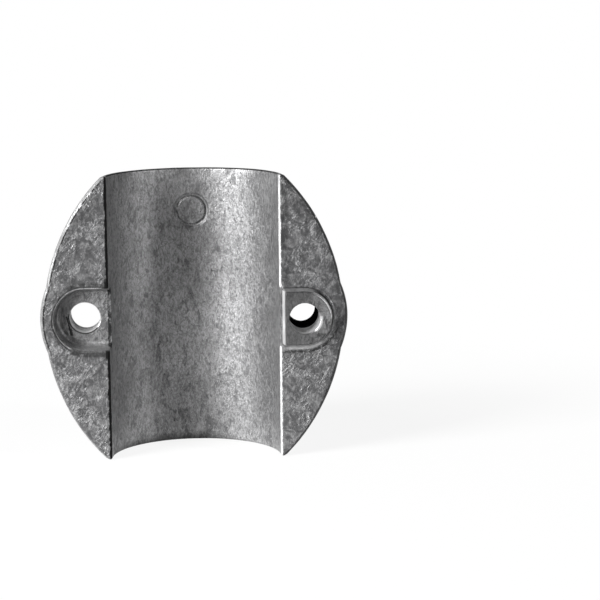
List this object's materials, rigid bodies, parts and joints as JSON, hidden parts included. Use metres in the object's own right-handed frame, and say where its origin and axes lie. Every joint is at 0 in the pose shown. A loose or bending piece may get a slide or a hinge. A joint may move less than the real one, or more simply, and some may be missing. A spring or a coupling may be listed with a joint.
{
  "type": "sacrificial anode",
  "caption": "Half shell of a split shaft anode: barrel-shaped casting with a belt, a half bore, screw holes in outer pockets, a D-shaped boss and the recess that takes its twin.",
  "frame": {"origin": "shaft axis at mid-length, on the parting plane", "axes": "+Z along the shaft axis, upwards as it stands; +Y from the parting plane into the metal; +X from the recess to the boss"},
  "size_m": [0.0908, 0.0492, 0.0846],
  "materials": {
    "zinc": "matt"
  },
  "bodies": {
    "root": {"half_shell": "zinc"}
  },
  "joints": []
}
